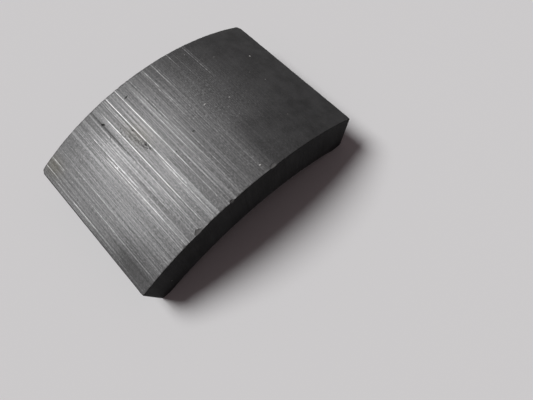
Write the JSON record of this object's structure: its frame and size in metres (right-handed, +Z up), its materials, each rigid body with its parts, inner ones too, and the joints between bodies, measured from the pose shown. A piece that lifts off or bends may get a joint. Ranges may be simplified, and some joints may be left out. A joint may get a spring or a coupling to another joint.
{
  "type": "ferrite motor magnet arc segment",
  "caption": "Arc segment of hard ferrite for a motor stator: ground convex outer face, hollow inner face towards the rotor, leaning sides and narrow flat feet.",
  "frame": {"origin": "on the resting plane, under the middle of the arch and half way along its length", "axes": "+X across the chord, +Y along the motor's axis, +Z up through the crown of the arch"},
  "size_m": [0.065, 0.0426, 0.0184],
  "materials": {
    "ferrite": "ground, dark grey, with axial grinding lines"
  },
  "bodies": {
    "root": {"arc_magnet": "ferrite"}
  },
  "joints": []
}
